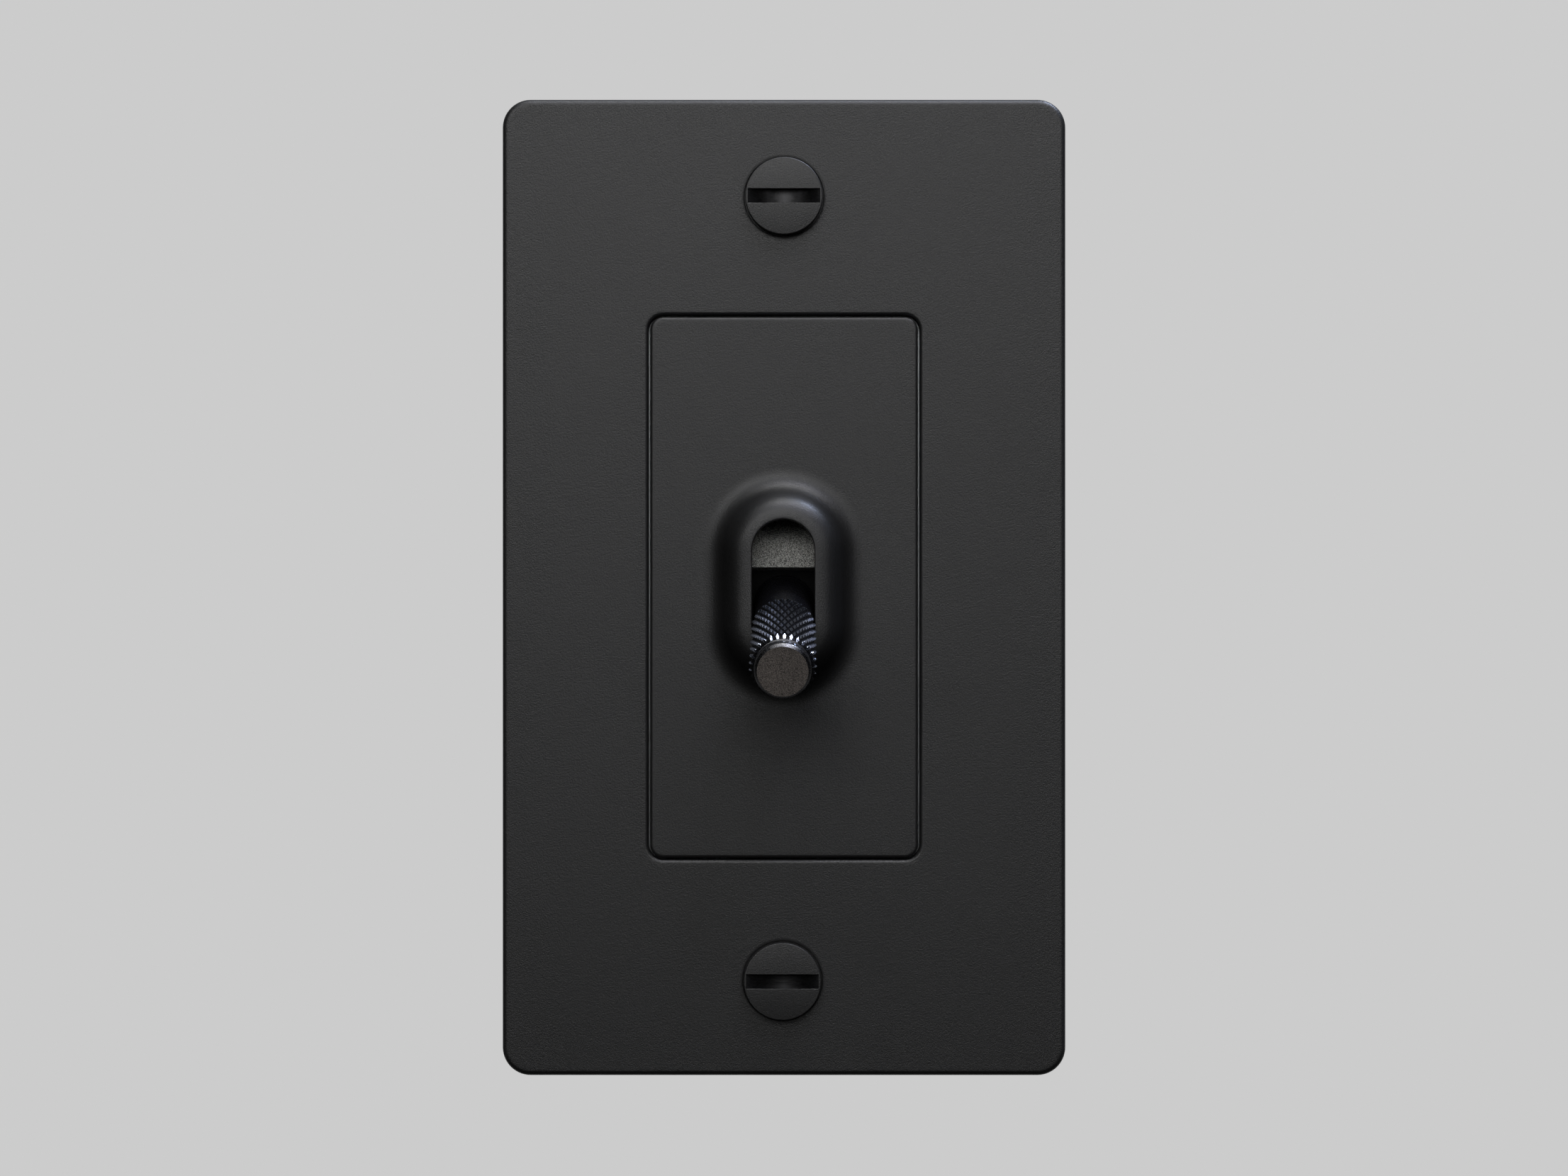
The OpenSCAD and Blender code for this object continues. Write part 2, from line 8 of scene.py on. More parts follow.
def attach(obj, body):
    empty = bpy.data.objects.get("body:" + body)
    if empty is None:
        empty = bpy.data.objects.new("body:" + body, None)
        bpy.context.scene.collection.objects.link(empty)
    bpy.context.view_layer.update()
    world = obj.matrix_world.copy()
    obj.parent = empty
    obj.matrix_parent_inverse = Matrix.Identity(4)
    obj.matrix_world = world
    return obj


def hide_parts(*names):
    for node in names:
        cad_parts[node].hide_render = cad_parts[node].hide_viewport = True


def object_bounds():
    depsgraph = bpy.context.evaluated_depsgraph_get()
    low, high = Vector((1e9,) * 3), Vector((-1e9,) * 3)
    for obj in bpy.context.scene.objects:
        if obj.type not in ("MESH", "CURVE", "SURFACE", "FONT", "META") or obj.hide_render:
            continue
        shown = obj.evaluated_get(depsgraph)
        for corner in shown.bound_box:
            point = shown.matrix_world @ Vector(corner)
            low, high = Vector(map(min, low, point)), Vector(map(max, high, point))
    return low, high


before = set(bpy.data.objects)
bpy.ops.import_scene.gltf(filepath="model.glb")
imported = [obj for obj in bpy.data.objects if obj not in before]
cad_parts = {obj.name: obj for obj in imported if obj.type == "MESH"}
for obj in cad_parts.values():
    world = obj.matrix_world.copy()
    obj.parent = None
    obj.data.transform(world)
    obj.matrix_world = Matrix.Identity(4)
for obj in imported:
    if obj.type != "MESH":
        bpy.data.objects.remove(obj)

CAD_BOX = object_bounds()
random.seed(7)
MM = 0.001
TILT = math.radians(14.5)
CT, ST = math.cos(TILT), math.sin(TILT)
PIVOT = -7.5
FRONT = 4.2
COLLAR = 8.8
OFF = -0.07
COIN = ((-0.19, -48.42), (0.0, 48.12))

# ------------------------------------------------------------------ camera
PX_PER_MM = 11.45
DIST = 500.0
cam_data = bpy.data.cameras.new("camera")
cam_data.sensor_width = 36.0
cam_data.lens = PX_PER_MM * 36.0 * DIST / 2212.0
cam_data.clip_start = 0.01
cam_data.clip_end = 20.0
cam_data.dof.use_dof = False
cam = bpy.data.objects.new("camera", cam_data)
CAM_X = 2.9
cam_data.shift_x = -CAM_X * PX_PER_MM / 2212.0
cam.location = (CAM_X * MM, -(FRONT + DIST) * MM, -0.07 * MM)
cam.rotation_euler = (math.pi / 2, 0, 0)
bpy.context.collection.objects.link(cam)
bpy.context.scene.camera = cam


# ------------------------------------------------------------------ places
def wall(x, v, s):
    """Wall frame: x right, v up, s outwards from the wall, in millimetres."""
    return Vector((x, -s, v)) * MM


def lever(x, b, a):
    """Lever frame: a along the lever from its pivot, b upwards across it."""
    return wall(x, -a * ST + b * CT, PIVOT + a * CT + b * ST)


# ------------------------------------------------------------------ mesh tools
class Shell:
    def __init__(self, place=wall):
        self.bm = bmesh.new()
        self.place = place

    def loop(self, pts):
        return [self.bm.verts.new(self.place(*p)) for p in pts]

    def bridge(self, a, b, mat=0, smooth=True, closed=True):
        n = len(a)
        for i in range(n if closed else n - 1):
            j = (i + 1) % n
            f = self.bm.faces.new((a[i], a[j], b[j], b[i]))
            f.material_index = mat
            f.smooth = smooth

    def skin(self, loops, mat=0, smooth=True, closed=True):
        for a, b in zip(loops, loops[1:]):
            self.bridge(a, b, mat, smooth, closed)

    def fill(self, loops, mat=0, smooth=True):
        edges = []
        for lp in loops:
            for i in range(len(lp)):
                a, b = lp[i], lp[(i + 1) % len(lp)]
                e = self.bm.edges.get((a, b)) or self.bm.edges.new((a, b))
                edges.append(e)
        before = set(self.bm.faces)
        bmesh.ops.triangle_fill(self.bm, use_beauty=True, use_dissolve=False, edges=edges)
        for f in self.bm.faces:
            if f not in before:
                f.material_index = mat
                f.smooth = smooth

    def cap(self, lp, mat=0):
        f = self.bm.faces.new(lp)
        f.material_index = mat
        f.smooth = True

    def done(self, name, mats, angle=35.0, weighted=True):
        bmesh.ops.remove_doubles(self.bm, verts=self.bm.verts, dist=1e-7)
        bmesh.ops.recalc_face_normals(self.bm, faces=self.bm.faces)
        me = bpy.data.meshes.new(name)
        self.bm.to_mesh(me)
        self.bm.free()
        return place_mesh(name, me, mats, angle, weighted)


def place_mesh(name, me, mats, angle=35.0, weighted=True):
    for m in mats:
        me.materials.append(m)
    ob = bpy.data.objects.new(name, me)
    bpy.context.collection.objects.link(ob)
    if angle is not None:
        me.set_sharp_from_angle(angle=math.radians(angle))
    if weighted:
        w = ob.modifiers.new("weighted", "WEIGHTED_NORMAL")
        w.keep_sharp = True
    return ob


def rrect(w, h, r, s, seg=10, cx=0.0, cv=0.0):
    pts = []
    r = max(r, 0.02)
    for q, (sx, sv) in enumerate(((1, 1), (-1, 1), (-1, -1), (1, -1))):
        for k in range(seg + 1):
            t = math.radians(90 * q + 90 * k / seg)
            pts.append((cx + sx * (w / 2 - r) + r * math.cos(t), cv + sv * (h / 2 - r) + r * math.sin(t), s))
    return pts


def ring(r, s, n=48, cx=0.0, cv=0.0):
    return [(cx + r * math.cos(2 * math.pi * k / n), cv + r * math.sin(2 * math.pi * k / n), s) for k in range(n)]


def stadium(r, run, seg=32, straight=12):
    """Points of an upright slot outline, as (x, v)."""
    pts = []
    for k in range(seg + 1):
        t = math.pi * k / seg
        pts.append((r * math.cos(t), run + r * math.sin(t)))
    for k in range(1, straight):
        pts.append((-r, run - 2 * run * k / straight))
    for k in range(seg + 1):
        t = math.pi + math.pi * k / seg
        pts.append((r * math.cos(t), -run + r * math.sin(t)))
    for k in range(1, straight):
        pts.append((r, -run + 2 * run * k / straight))
    return pts


def arc(cx, cy, r, a0, a1, n):
    return [(cx + r * math.cos(math.radians(a0 + (a1 - a0) * k / n)), cy + r * math.sin(math.radians(a0 + (a1 - a0) * k / n))) for k in range(n + 1)]


def lathe(sh, prof, n=64, closed=False, frame_=None, mat=0):
    """Turns (radius, height) points about an axis. frame_ maps (x, y, height) to the shell's own coordinates."""
    put = frame_ or (lambda x, y, z: (x, y, z))
    loops = []
    for r, z in prof:
        loops.append(sh.loop([put(r * math.cos(2 * math.pi * k / n), r * math.sin(2 * math.pi * k / n), z) for k in range(n)]))
    sh.skin(loops, mat)
    if closed:
        sh.bridge(loops[-1], loops[0], mat)
    else:
        sh.cap(loops[0], mat)
        sh.cap(loops[-1], mat)
    return loops


# ------------------------------------------------------------------ materials
def new_mat(name):
    m = bpy.data.materials.new(name)
    m.use_nodes = True
    nt = m.node_tree
    for n in list(nt.nodes):
        nt.nodes.remove(n)
    out = nt.nodes.new("ShaderNodeOutputMaterial")
    bsdf = nt.nodes.new("ShaderNodeBsdfPrincipled")
    nt.links.new(bsdf.outputs["BSDF"], out.inputs["Surface"])
    return m, nt, bsdf


def coords(nt, scale=(1, 1, 1), rot=(0, 0, 0)):
    tc = nt.nodes.new("ShaderNodeTexCoord")
    mp = nt.nodes.new("ShaderNodeMapping")
    mp.inputs["Scale"].default_value = scale
    mp.inputs["Rotation"].default_value = rot
    nt.links.new(tc.outputs["Object"], mp.inputs["Vector"])
    return mp.outputs["Vector"]


def noise_tex(nt, vec, scale, detail=3.0, rough=0.55, dist=0.0):
    t = nt.nodes.new("ShaderNodeTexNoise")
    t.inputs["Scale"].default_value = scale
    t.inputs["Detail"].default_value = detail
    t.inputs["Roughness"].default_value = rough
    t.inputs["Distortion"].default_value = dist
    nt.links.new(vec, t.inputs["Vector"])
    return t.outputs["Fac"]


def voronoi_tex(nt, vec, scale, feature="F1", rand=1.0):
    t = nt.nodes.new("ShaderNodeTexVoronoi")
    t.feature = feature
    t.inputs["Scale"].default_value = scale
    t.inputs["Randomness"].default_value = rand
    nt.links.new(vec, t.inputs["Vector"])
    return t.outputs["Distance"]


def ramp(nt, fac, stops):
    r = nt.nodes.new("ShaderNodeValToRGB")
    els = r.color_ramp.elements
    while len(els) < len(stops):
        els.new(0.5)
    for e, (p, c) in zip(els, stops):
        e.position = p
        e.color = (*c, 1.0)
    nt.links.new(fac, r.inputs["Fac"])
    return r.outputs["Color"]


def spread(nt, fac, lo, hi, f0=0.3, f1=0.7):
    m = nt.nodes.new("ShaderNodeMapRange")
    m.inputs["From Min"].default_value = f0
    m.inputs["From Max"].default_value = f1
    m.inputs["To Min"].default_value = lo
    m.inputs["To Max"].default_value = hi
    nt.links.new(fac, m.inputs["Value"])
    return m.outputs["Result"]


def bump(nt, height, dist, strength=1.0, normal=None):
    b = nt.nodes.new("ShaderNodeBump")
    b.inputs["Distance"].default_value = dist
    b.inputs["Strength"].default_value = strength
    nt.links.new(height, b.inputs["Height"])
    if normal is not None:
        nt.links.new(normal, b.inputs["Normal"])
    return b.outputs["Normal"]


def speckle(nt, col, fac, amount):
    """Multiplies a colour by a fine dark-and-light grain."""
    mul = nt.nodes.new("ShaderNodeMix")
    mul.data_type = "RGBA"
    mul.blend_type = "MULTIPLY"
    mul.inputs["Factor"].default_value = 1.0
    nt.links.new(col, mul.inputs["A"])
    lo, hi = max(0.0, 1 - amount), 1 + amount
    nt.links.new(ramp(nt, fac, ((0.36, (lo, lo, lo)), (0.64, (hi, hi, hi)))), mul.inputs["B"])
    return mul.outputs["Result"]


def scaled(c, k):
    return tuple(min(1.0, x * k) for x in c)


def coat(name, base, rough=0.5, spec=0.5, grain=0.19, depth=0.012, vary=0.10, metallic=0.0, speck=0.0):
    """Powder coat or sprayed finish: fine orange-peel grain with a slow drift of tone."""
    m, nt, b = new_mat(name)
    v = coords(nt)
    fine = noise_tex(nt, v, 1000.0 / grain, 2.0, 0.6)
    slow = noise_tex(nt, v, 90.0, 4.0, 0.5)
    col = ramp(nt, slow, ((0.3, scaled(base, 1 - vary)), (0.7, scaled(base, 1 + vary))))
    if speck:
        col = speckle(nt, col, noise_tex(nt, v, 1000.0 / grain, 1.0, 0.5), speck)
    nt.links.new(col, b.inputs["Base Color"])
    nt.links.new(spread(nt, fine, rough - 0.06, rough + 0.06), b.inputs["Roughness"])
    n = bump(nt, noise_tex(nt, v, 1000.0 / (grain * 3.0), 2.0, 0.5), depth * 0.2 * MM)
    n = bump(nt, fine, depth * MM, 1.0, n)
    nt.links.new(n, b.inputs["Normal"])
    b.inputs["Metallic"].default_value = metallic
    b.inputs["Specular IOR Level"].default_value = spec
    return m


def metal(name, base, rough=0.3, along=(1, 1, 1), streak=0.12, depth=0.004, vary=0.12, tarnish=None, metallic=1.0, coat_w=0.0):
    """Worked metal: streaks drawn out along one direction, small pits and a slow tarnish."""
    m, nt, b = new_mat(name)
    v = coords(nt, along)
    plain = coords(nt)
    lines = noise_tex(nt, v, 1000.0 / streak, 3.0, 0.6)
    slow = noise_tex(nt, plain, 160.0, 4.0, 0.6)
    dark = tarnish or scaled(base, 1 - vary)
    col = ramp(nt, slow, ((0.35, dark), (0.62, base), (0.8, scaled(base, 1 + vary * 0.6))))
    nt.links.new(col, b.inputs["Base Color"])
    nt.links.new(spread(nt, lines, rough - 0.1, rough + 0.12), b.inputs["Roughness"])
    nt.links.new(bump(nt, lines, depth * MM), b.inputs["Normal"])
    b.inputs["Metallic"].default_value = metallic
    if coat_w:
        b.inputs["Coat Weight"].default_value = coat_w
        b.inputs["Coat Roughness"].default_value = 0.2
    return m


def moulded(name, base, rough=0.5, cell=0.22, depth=0.02, vary=0.12, spec=0.5, speck=0.0):
    """Moulded plastic with a spark-eroded skin."""
    m, nt, b = new_mat(name)
    v = coords(nt)
    cells = noise_tex(nt, v, 1000.0 / cell, 3.0, 0.6, 0.4)
    slow = noise_tex(nt, v, 120.0, 4.0, 0.5)
    col = ramp(nt, slow, ((0.3, scaled(base, 1 - vary)), (0.7, scaled(base, 1 + vary))))
    if speck:
        col = speckle(nt, col, noise_tex(nt, v, 1000.0 / cell, 1.0, 0.5), speck)
    nt.links.new(col, b.inputs["Base Color"])
    nt.links.new(spread(nt, cells, rough - 0.08, rough + 0.1), b.inputs["Roughness"])
    nt.links.new(bump(nt, cells, depth * MM), b.inputs["Normal"])
    b.inputs["Specular IOR Level"].default_value = spec
    return m


def slot_metal():
    """Milled slot floor, its base colour painted lighter in the middle and at the ends and darkest between: a painted
    highlight and painted shade that shape its shine.
    """
    m, nt, b = new_mat("black_screw_slot")
    lines = noise_tex(nt, coords(nt, (0.02, 1, 1)), 1000.0 / 0.16, 3.0, 0.6)
    xyz = nt.nodes.new("ShaderNodeSeparateXYZ")
    nt.links.new(coords(nt), xyz.inputs["Vector"])
    off = nt.nodes.new("ShaderNodeMath")
    off.operation = "ABSOLUTE"
    nt.links.new(xyz.outputs["X"], off.inputs[0])
    # base colour by distance from the slot's middle: painted highlight in the middle, painted shade on the shoulders,
    # lighter again at the ends
    slot_painted_light = spread(nt, off.outputs[0], 1.0, 0.0, 0.0, 4.4 * MM)
    col = ramp(nt, slot_painted_light, ((0.0, (0.046, 0.046, 0.048)), (0.28, (0.022, 0.022, 0.023)), (0.46, (0.0115, 0.0115, 0.012)), (0.64, (0.0175, 0.0175, 0.0185)), (0.78, (0.029, 0.029, 0.030)), (1.0, (0.045, 0.045, 0.047))))
    nt.links.new(speckle(nt, col, lines, 0.22), b.inputs["Base Color"])
    nt.links.new(spread(nt, lines, 0.28, 0.40), b.inputs["Roughness"])
    nt.links.new(bump(nt, lines, 0.0035 * MM), b.inputs["Normal"])
    b.inputs["Metallic"].default_value = 0.85
    b.inputs["Specular IOR Level"].default_value = 0.3
    return m


M_PLATE = coat("powder_coat_plate", (0.0065, 0.0065, 0.0065), rough=0.44, grain=0.17, depth=0.03)
M_FASCIA = coat("powder_coat_fascia", (0.0065, 0.0065, 0.0065), rough=0.44, grain=0.17, depth=0.024)
M_SCREW = coat("black_screw_face", (0.0065, 0.0065, 0.0065), rough=0.44, grain=0.19, depth=0.028)
M_SLOT = slot_metal()
M_GRIP = metal("black_knurl", (0.72, 0.78, 0.95), rough=0.17, streak=0.3, depth=0.0003, vary=0.25)
# near-black finish for the knurl's grooves and underside: painted shade
M_GROOVE_SHADE = coat("knurl_groove_painted_shade", (0.002, 0.002, 0.0024), rough=0.42, grain=0.2, depth=0.002, spec=0.07)
M_NECK = coat("black_neck", (0.003, 0.003, 0.0036), rough=0.26, grain=0.2, depth=0.002, spec=0.12)
M_CAP = metal("black_nose", (0.12, 0.12, 0.124), rough=0.27, streak=0.14, depth=0.012, vary=0.3)
M_CAPFACE = coat("nose_face", (0.068, 0.059, 0.052), rough=0.5, grain=0.11, depth=0.03, vary=0.16, speck=0.7)
# near-black finish for the pocket, its walls, the stalk and the cheeks: painted shade standing in for the shade inside
# the slot
M_POCKET_SHADE = coat("drum_pocket_painted_shade", (0.003, 0.003, 0.0032), rough=0.4, grain=0.2, depth=0.01, spec=0.22)
M_DRUM = moulded("spark_textured_drum", (0.235, 0.235, 0.219), rough=0.42, cell=0.12, depth=0.12, speck=0.85)


# ------------------------------------------------------------------ wall plate
def wall_plate():
    sh = Shell()
    W, H, R, E, T = 69.4, 120.3, 3.45, 0.68, FRONT
    seg = 14

    def outer(inset, s):
        return sh.loop(rrect(W - 2 * inset, H - 2 * inset, R - inset, s, seg))

    prof = [(0.2, 0.0), (0.06, 0.06), (0.0, 0.2), (0.0, T - E)]
    prof += [(E * (1 - math.cos(math.radians(90 * k / 10))), T - E + E * math.sin(math.radians(90 * k / 10))) for k in range(1, 11)]
    prof.append((E + 0.4, T))
    shell = [outer(i, s) for i, s in prof]
    sh.skin(shell)
    rim0 = sh.loop(rrect(63.0, 113.9, 1.5, 0.0, seg))
    rim1 = sh.loop(rrect(63.0, 113.9, 1.5, 1.6, seg))
    sh.bridge(rim0, shell[0])
    sh.bridge(rim0, rim1)
    # opening with a convex lip
    e = 0.42

    def op(outset, s):
        return sh.loop(rrect(33.5 + 2 * outset, 67.1 + 2 * outset, 1.9 + outset, s, seg))

    lip = [(e * (1 - math.sin(math.radians(90 * k / 8))), T - e + e * math.cos(math.radians(90 * k / 8))) for k in range(9)]
    opening = [op(e + 0.4, T)] + [op(o, s) for o, s in lip] + [op(0, 1.6)]
    sh.skin(opening)
    front, back = [shell[-1], opening[0]], [rim1, opening[-1]]
    for j in (-1, 1):
        cx, cv = COIN[(j + 1) // 2]
        c = [sh.loop(ring(r, s, 96, cx, cv)) for r, s in ((5.3, T), (4.97, T), (4.93, T - 0.02), (4.9, T - 0.07), (4.9, T - 0.5), (2.1, T - 0.5), (2.1, 1.6))]
        sh.skin(c)
        front.append(c[0])
        back.append(c[-1])
        cv = j * 83.34 / 2
        c = [sh.loop(ring(r, s, 48, 0, cv)) for r, s in ((3.9, 1.6), (3.9, 3.0))]
        sh.skin(c)
        sh.cap(c[-1])
        back.append(c[0])
    sh.fill(front)
    sh.fill(back)
    return sh.done("plate_shell", [M_PLATE], 40)


# ------------------------------------------------------------------ fascia
def fascia():
    sh = Shell()
    W, H, R, E, T = 33.0, 66.7, 1.6, 0.42, FRONT
    seg = 12
    prof = [(0.0, 1.3), (0.0, T - E)]
    prof += [(E * (1 - math.cos(math.radians(90 * k / 8))), T - E + E * math.sin(math.radians(90 * k / 8))) for k in range(1, 9)]
    prof.append((E + 0.4, T))
    slab = [sh.loop(rrect(W - 2 * i, H - 2 * i, R - i, s, seg)) for i, s in prof]
    sh.skin(slab)
    # collar: swept foot, flank and domed rim drawn from their slopes, then the slot wall
    slopes = ((4.1, 3), (4.7, 9), (5.1, 16), (5.5, 26), (5.9, 36), (6.2, 44), (6.5, 54), (6.8, 65), (7.1, 73), (7.3, 72),
              (7.6, 60), (8.0, 44), (8.4, 33), (8.9, 21), (9.4, 10.5), (9.9, 3.5), (10.4, 0))
    curve, d, height = [], 10.4, 0.0
    while d > 4.1 - 1e-6:
        k = max(i for i in range(len(slopes)) if slopes[i][0] <= d + 1e-9)
        a, b = slopes[k], slopes[min(k + 1, len(slopes) - 1)]
        f = (d - a[0]) / (b[0] - a[0]) if b[0] > a[0] else 0.0
        f = f * f * (3 - 2 * f) * 0.35 + f * 0.65
        curve.append((d, height))
        height += 0.1 * math.tan(math.radians(a[1] + (b[1] - a[1]) * f))
        d -= 0.1
    lift = (COLLAR - T) / curve[-1][1]
    coll = [(10.8, T)] + [(q, T + h * lift) for q, h in curve]
    coll += arc(3.83 + 0.15, coll[-1][1] - 0.15, 0.15, 85, 180, 5)
    loops = [sh.loop([(x + OFF, v, s) for x, v in stadium(d, 4.5)]) for d, s in coll]
    inner = [(x + OFF, v) for x, v in stadium(3.83, 4.5)]
    low = sh.loop([(x, v, PIVOT + math.sqrt(12.5 ** 2 - v * v)) for x, v in inner])
    loops.append(low)
    sh.skin(loops)
    # relief under the collar, on the drum's cylinder, then the underside
    flat, deep = [], []
    for x, v in inner:
        k = min(5.9 / max(abs(x), 1e-6), 8.87 / max(abs(v), 1e-6))
        X, V = x * k, v * k
        flat.append((X, V, 1.3))
        deep.append((X, V, max(PIVOT + math.sqrt(max(12.5 ** 2 - V * V, 0)), 1.31)))
    deep, flat = sh.loop(deep), sh.loop(flat)
    sh.bridge(low, deep)
    sh.bridge(deep, flat)
    sh.fill([slab[-1], loops[0]])
    sh.fill([slab[0], flat])
    return sh.done("fascia_shell", [M_FASCIA], 40)


# ------------------------------------------------------------------ coin screws
def thread_loops(sh, put, r, z0, z1, pitch, depth, n=32, per=8):
    """Closed threaded rod from z0 down to z1 about an axis, as stacked rings."""
    rows = max(2, int(abs(z1 - z0) / pitch * per))
    loops = []
    for i in range(rows + 1):
        z = z0 + (z1 - z0) * i / rows
        lp = []
        for k in range(n):
            u = (abs(z - z0) / pitch + k / n) % 1.0
            h = 1 - abs(2 * u - 1)
            h = min(1.0, max(0.0, (h - 0.12) / 0.76))
            rr = r - depth * (1 - h)
            rr = min(rr, r - depth + abs(z1 - z) * 0.9 + 0.15)
            t = 2 * math.pi * k / n
            lp.append(put(rr * math.cos(t), rr * math.sin(t), z))
        loops.append(sh.loop(lp))
    sh.skin(loops)
    sh.cap(loops[0])
    sh.cap(loops[-1])


def coin_screws():
    sh = Shell()
    for j in (-1, 1):
        cx, cv = COIN[(j + 1) // 2]

        def put(x, y, z, cx=cx, cv=cv):
            return (cx + x, cv + y, z)

        r, top, base = 4.75, FRONT + 1.7, FRONT - 0.5
        half_l, half_w, rd = 4.4, 0.865, 6.5
        cz = top + math.sqrt(rd * rd - half_l ** 2)
        # rim of the head
        e = 0.12
        prof = [(2.0, base), (r - 0.1, base), (r, base + 0.1), (r, top - e)]
        prof += arc(r - e, top - e, e, 0, 90, 5)[1:]
        rings = [sh.loop([put(a * math.cos(2 * math.pi * k / 128), a * math.sin(2 * math.pi * k / 128), z) for k in range(128)]) for a, z in prof]
        sh.skin(rings)
        sh.cap(rings[0])
        # slot: closed ends, floor on a disc, small bevel on its mouth
        bev = 0.06
        n = 40
        xs = [-half_l + 2 * half_l * k / n for k in range(n + 1)]
        mouth = [put(x * (half_l + bev) / half_l, -half_w - bev, top) for x in xs] + [put(x * (half_l + bev) / half_l, half_w + bev, top) for x in reversed(xs)]
        neck = [put(x, -half_w, top - bev) for x in xs] + [put(x, half_w, top - bev) for x in reversed(xs)]

        def floor_z(x):
            return min(top - bev - 0.01, cz - math.sqrt(rd * rd - x * x))

        bottom = [put(x, -half_w, floor_z(x)) for x in xs] + [put(x, half_w, floor_z(x)) for x in reversed(xs)]
        mouth, neck, bottom = sh.loop(mouth), sh.loop(neck), sh.loop(bottom)
        sh.bridge(mouth, neck)
        sh.bridge(neck, bottom, 1)
        m = len(bottom)
        for k in range(n):
            f = sh.bm.faces.new((bottom[k], bottom[k + 1], bottom[m - 2 - k], bottom[m - 1 - k]))
            f.material_index = 1
            f.smooth = True
        sh.fill([rings[-1], mouth], smooth=False)
        thread_loops(sh, put, 1.75, base + 0.02, -6.0, 0.794, 0.3)
    return sh.done("coin_screw_pair", [M_SCREW, M_SLOT], 30, weighted=False)


# ------------------------------------------------------------------ lever
def lever_grip():
    sh = Shell(lever)
    a0, a1, R, depth = 19.9, 37.4, 4.0, 0.34
    starts, n, pitch = 29, 18, 3.1
    around = starts * n
    rows = int(round((a1 - a0) / pitch * n))
    ch = 0.5
    grid, crest = [], []
    for i in range(rows + 1):
        a = a0 + (a1 - a0) * i / rows
        lp, row = [], []
        for k in range(around):
            ua, ub = ((i + k) % n) / n, ((i - k) % n) / n
            h = min(1 - abs(2 * ua - 1), 1 - abs(2 * ub - 1))
            h = min(max(h - 0.14, 0.0), 0.79) / 0.79
            r = R - depth * (1 - h)
            edge = min(a - a0, a1 - a)
            r = min(r, R - ch + edge)
            t = 2 * math.pi * k / around
            lp.append((r * math.cos(t), r * math.sin(t), a))
            row.append(h)
        grid.append(sh.loop(lp))
        crest.append(row)
    for i in range(rows):
        for k in range(around):
            j = (k + 1) % around
            a, b, c, d = grid[i][k], grid[i][j], grid[i + 1][j], grid[i + 1][k]
            # split each cell along the nearest groove
            ua, ub = ((i + k + 1) % n) / n, ((i - k) % n) / n
            da, db = min(ua, 1 - ua), min(ub, 1 - ub)
            if da <= db:
                faces = ((a, b, d), (b, c, d))
            else:
                faces = ((a, b, c), (a, c, d))
            # the grooves take the near-black material, painted shade in them, and the painted shade reaches over more
            # and more of the crests towards the underside, which is darker because of how the light falls
            underside_painted_shade = max(0.0, 0.25 - math.sin(2 * math.pi * k / around))
            low = (crest[i][k] + crest[i][j] + crest[i + 1][j] + crest[i + 1][k]) / 4
            for f in faces:
                nf = sh.bm.faces.new(f)
                nf.smooth = True
                nf.material_index = 1 if low < 0.38 + underside_painted_shade else 0
    ri = 3.0
    in0 = sh.loop(ring(ri, a0, around))
    in1 = sh.loop(ring(ri, a1 - 0.3, around))
    seat = sh.loop(ring(R - ch - 0.04, a1 - 0.3, around))
    sh.bridge(grid[0], in0)
    sh.bridge(grid[-1], seat)
    sh.bridge(seat, in1)
    sh.bridge(in0, in1)
    return sh.done("knurled_grip", [M_GRIP, M_GROOVE_SHADE], 22, weighted=False)


def lever_shank():
    sh = Shell(lever)
    prof = [(2.5, 4.6), (2.5, 8.9), (3.5, 8.9), (3.6, 9.0), (3.6, 19.7), (3.45, 19.9), (3.0, 19.9), (3.0, 37.4), (1.5, 37.4), (1.5, 33.0)]
    lathe(sh, prof, 96)
    return sh.done("smooth_neck", [M_NECK], 30)


def lever_end_cap():
    sh = Shell(lever)
    a0, a1, r = 37.4, 39.3, 3.44
    prof = [(1.45, 33.1), (1.45, a0), (r - 0.02, a0), (r, a0 + 0.02), (r, a0 + 0.06), (r - 0.04, a0 + 0.1), (r - 0.1, a0 + 0.13)]
    prof += [(r - 0.08, a0 + 0.18), (r - 0.07, a1 - 0.38), (r - 0.09, a1 - 0.33), (r - 0.12, a1 - 0.29), (r - 0.385, a1 - 0.03), (r - 0.42, a1)]
    loops = [sh.loop(ring(q, a, 128)) for q, a in prof]
    sh.skin(loops)
    sh.cap(loops[0])
    face = [loops[-1]] + [sh.loop(ring(q, a1, 128)) for q in (2.4, 1.6, 0.8)]
    sh.skin(face, 1)
    sh.cap(face[-1], 1)
    return sh.done("turned_nose", [M_CAP, M_CAPFACE], 25)


def lever_lock_ring():
    sh = Shell(lever)
    prof = [(2.5, 8.3), (3.8, 8.3), (3.8, 8.78), (3.7, 8.9), (2.5, 8.9)]
    lathe(sh, prof, 96, closed=True)
    return sh.done("root_ring", [M_NECK], 30)


